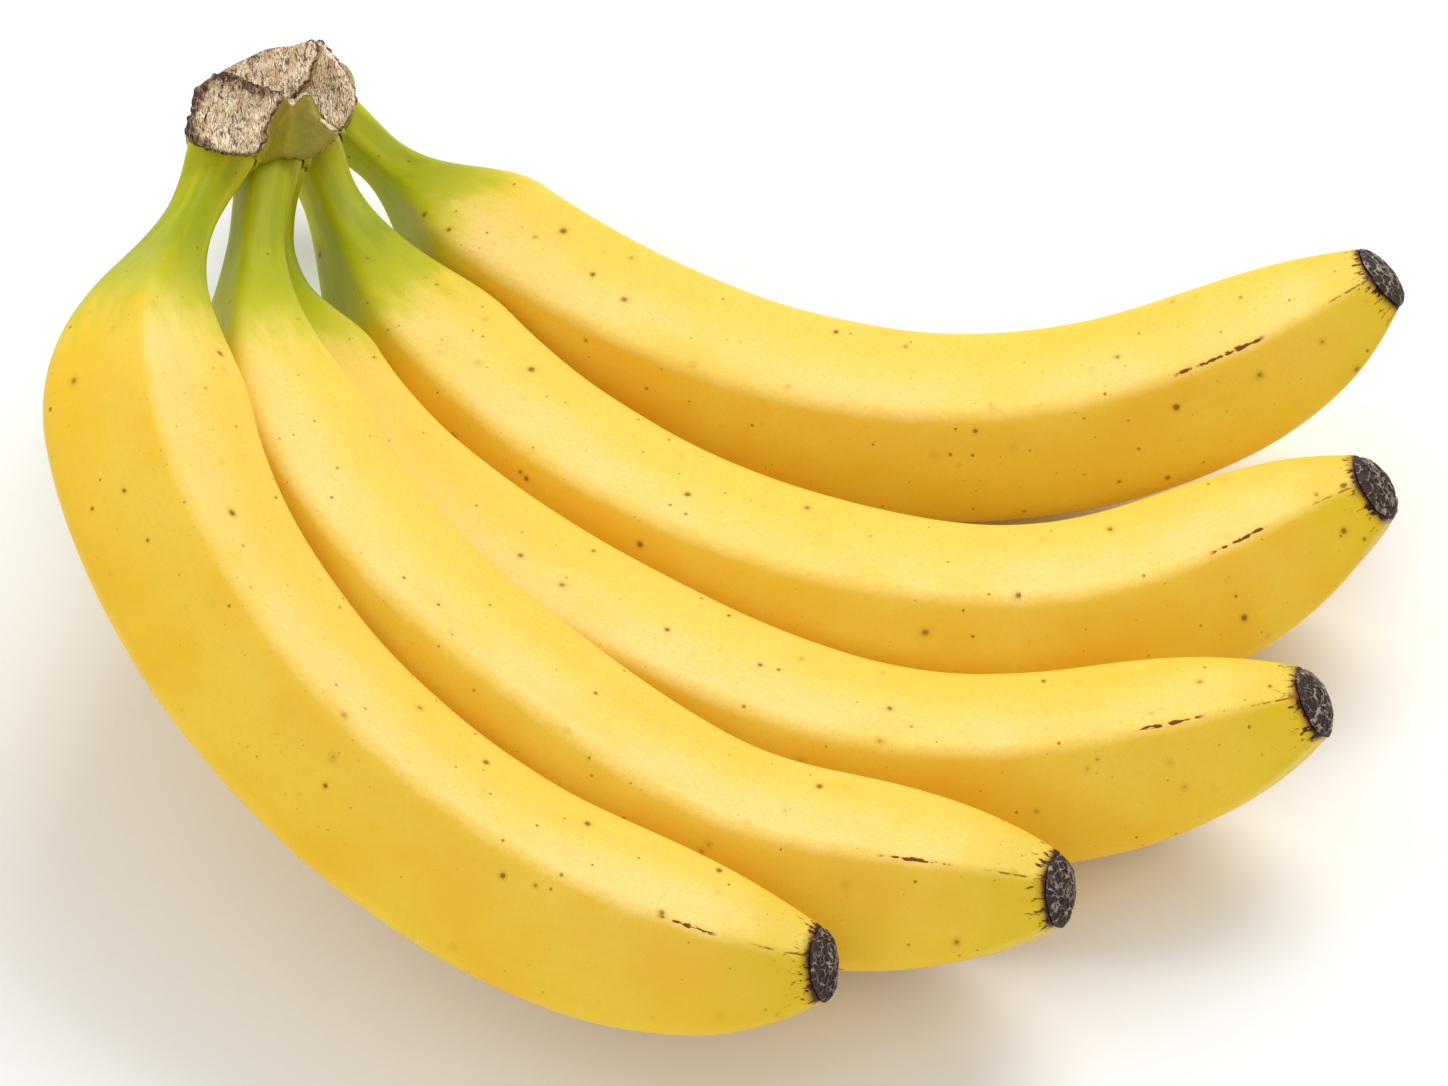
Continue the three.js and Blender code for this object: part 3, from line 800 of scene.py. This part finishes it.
def make_crown(bananas):
    lobes = [Lobe(spec) for spec in CROWN_LOBES]
    patch = Lobe(PATCH)
    parts = [crown_core(), patch.loft()] + [lobe.loft() for lobe in lobes]
    parts += [crown_collar(banana) for banana in bananas]
    piece = joined_object("crown_stalk", parts)
    remesh = piece.modifiers.new("joined", "REMESH")
    remesh.mode = "VOXEL"
    remesh.voxel_size = CROWN_VOXEL * MM
    smooth = piece.modifiers.new("smooth", "SMOOTH")
    smooth.iterations = 8
    apply_modifiers(piece)
    for banana in bananas:
        carve(piece, neck_hole(banana))
    mesh = piece.data
    points = mesh_array(mesh, "co") / MM
    normals = mesh_array(mesh, "normal")
    cut, rim, mouth, neck, dish = crown_zones(points, normals, lobes, patch, bananas)
    grain = np.stack([points[:, 0], points @ LOBE_RISE, points @ LOBE_NORMAL], -1)
    fibres = noise_at(grain * (1, 0.3, 0.5), 0.9, 4)
    height = 0.35 * noise_at(points, 5.0, 3) + 0.25 * cut * fibres - 0.9 * dish
    height += rim * (0.30 + 0.80 * noise_at(points, 1.0, 8)) + 0.15 * mouth * noise_at(points, 1.2, 5)
    free = np.full(len(points), np.inf)
    for banana in bananas:
        free = np.minimum(free, banana.clearance(points))
    height *= smoothstep((free - NECK_HOLE_GAP) / 0.5)
    points = points + normals * height[:, None]
    mesh.vertices.foreach_set("co", (points * MM).ravel())
    for key, values in (("cut", cut), ("rim", rim), ("mouth", mouth), ("neck", neck), ("grain", grain)):
        set_attribute(mesh, key, values)
    finish_piece(piece, crown_material(), "crown")


# Crown colours, linear
FIBRE_PALE = (1.0, 0.84, 0.60)
FIBRE_TAN = (0.72, 0.46, 0.24)
FIBRE_DARK = (0.15, 0.058, 0.02)
FIBRE_AGED = (0.42, 0.23, 0.10)
EDGE_BROWN = (0.07, 0.026, 0.010)
SKIN_OLIVE = (0.23, 0.22, 0.008)
SKIN_DULL = (0.34, 0.25, 0.015)
SKIN_GREEN = (0.36, 0.40, 0.012)


def curly_strands(s, grain, size, curl):
    """Thin bright lines that follow the fibres and curl: where a bent noise crosses its middle value."""
    bend = s.node("ShaderNodeTexNoise", Vector=grain, Scale=1 / (size * 1.6), Detail=1.0).outputs["Color"]
    place = s.node("ShaderNodeVectorMath", {"operation": "MULTIPLY_ADD"})
    s.feed(place.inputs[0], bend)
    s.feed(place.inputs[1], (curl, curl, curl))
    s.feed(place.inputs[2], grain)
    value = s.noise(s.stretch(place.outputs[0], (1, 0.22, 0.35)), size, 1.0)
    off_middle = s.math("ABSOLUTE", s.math("SUBTRACT", value, 0.5))
    return s.step(off_middle, 0.015, 0.075, 1.0, 0.0)


def crown_material():
    s = Shader("dry_crown")
    grain = s.attribute("grain")["Vector"]
    cut = s.attribute("cut")["Fac"]
    rim = s.attribute("rim")["Fac"]
    mouth = s.attribute("mouth")["Fac"]
    strands = curly_strands(s, grain, 1.2, 1.3)
    fine = curly_strands(s, grain, 0.7, 0.7)
    fibre = s.mix(s.step(s.noise(grain, 3.0, 3.0), 0.35, 0.65), FIBRE_TAN, FIBRE_PALE)
    fibre = s.mix(s.times(fine, 0.45), fibre, FIBRE_PALE)
    pits = s.noise(s.stretch(grain, (1, 0.35, 0.45)), 0.8, 2.0, 0.6, 0.8)
    fibre = s.mix(s.step(pits, 0.34, 0.46, 0.9, 0.0), fibre, FIBRE_DARK)
    fibre = s.mix(s.times(strands, 0.85), fibre, FIBRE_PALE)
    depth = s.split(grain)[2]
    fibre = s.mix(s.step(depth, -16.0, -4.0, 0.6, 0.0), fibre, FIBRE_AGED)
    skin = s.mix(s.step(s.noise(grain, 2.5, 4.0, 0.6), 0.35, 0.65), SKIN_OLIVE, SKIN_DULL)
    skin = s.mix(s.attribute("neck")["Fac"], skin, SKIN_GREEN)
    ragged = s.math("ADD", cut, s.times(s.math("SUBTRACT", s.noise(grain, 0.8, 3.0), 0.5), 0.5))
    colour = s.mix(s.step(ragged, 0.35, 0.6), skin, fibre)
    edge = s.math("ADD", rim, s.times(s.math("SUBTRACT", s.noise(grain, 1.3, 5.0, 0.75), 0.5), 2.2))
    colour = s.mix(s.step(edge, 0.15, 0.6, 0.0, 0.6), colour, FIBRE_DARK)
    colour = s.mix(s.step(edge, 0.45, 0.85, 0.0, 0.95), colour, EDGE_BROWN)
    curls = s.times(s.times(fine, s.step(rim, 0.2, 0.6)), 0.35)
    colour = s.mix(curls, colour, FIBRE_TAN)
    line = s.math("ADD", mouth, s.times(s.math("SUBTRACT", s.noise(grain, 1.5, 3.0), 0.5), 0.8))
    colour = s.mix(s.step(line, 0.5, 0.9, 0.0, 0.7), colour, FIBRE_DARK)
    s.feed(s.surface.inputs["Base Color"], colour)
    s.feed(s.surface.inputs["Roughness"], s.step(cut, 0.3, 0.7, 0.55, 0.85))
    normal = s.bump(s.times(strands, cut), 0.5, 1.0)
    normal = s.bump(s.times(fine, cut), 0.25, 0.9, normal)
    s.feed(s.surface.inputs["Normal"], s.bump(s.times(pits, cut), 0.6, 1.0, normal))
    return s.material


def add_floor():
    size = 3.0
    corners = [(-size, -size, 0), (size, -size, 0), (size, size, 0), (-size, size, 0)]
    floor = make_object("floor", np.array(corners) / MM, [(0, 1, 2, 3)])
    s = Shader("floor")
    s.surface.inputs["Base Color"].default_value = (0.93, 0.93, 0.93, 1)
    s.surface.inputs["Roughness"].default_value = 0.9
    floor.data.materials.append(s.material)


def add_light(name, place, aim, size, power, colour=(1, 1, 1)):
    data = bpy.data.lights.new(name, "AREA")
    data.shape = "RECTANGLE"
    data.size, data.size_y = size
    data.energy = power
    data.color = colour
    lamp = bpy.data.objects.new(name, data)
    lamp.location = place
    lamp.rotation_euler = (Vector(aim) - Vector(place)).to_track_quat("-Z", "Y").to_euler()
    bpy.context.scene.collection.objects.link(lamp)


def add_lights():
    scene = bpy.context.scene
    world = bpy.data.worlds.new("studio")
    world.use_nodes = True
    world.node_tree.nodes["Background"].inputs["Color"].default_value = (1, 1, 1, 1)
    world.node_tree.nodes["Background"].inputs["Strength"].default_value = 0.66
    scene.world = world
    add_light("key", (0.28, 0.65, 1.0), (0, 0, 0.02), (0.8, 0.6), 8.4)
    add_light("front", (-0.4, -1.1, 0.8), (0, 0, 0.02), (1.2, 0.8), 2.5)
    add_light("left", (-1.1, 0.1, 0.7), (0, 0, 0.02), (0.8, 0.8), 2.0)
    scene.view_settings.view_transform = "Standard"


def add_camera():
    data = bpy.data.cameras.new("camera")
    data.sensor_width = SENSOR_WIDTH
    data.lens = PIXELS_PER_MM * CAMERA_DISTANCE / PHOTO_SIZE[0] * SENSOR_WIDTH
    camera = bpy.data.objects.new("camera", data)
    back = np.array([0, -math.cos(CAMERA_ELEVATION), math.sin(CAMERA_ELEVATION)])
    camera.location = (CAMERA_AIM + back * CAMERA_DISTANCE) * MM
    camera.rotation_euler = Vector(-back).to_track_quat("-Z", "Y").to_euler()
    bpy.context.scene.collection.objects.link(camera)
    bpy.context.scene.camera = camera


def main():
    add_camera()
    add_lights()
    add_floor()
    bananas = [Banana(index, spec) for index, spec in enumerate(BANANAS)]
    for banana in bananas:
        make_banana(banana, bananas[:banana.index])
        make_tip(banana)
    make_crown(bananas)


main()
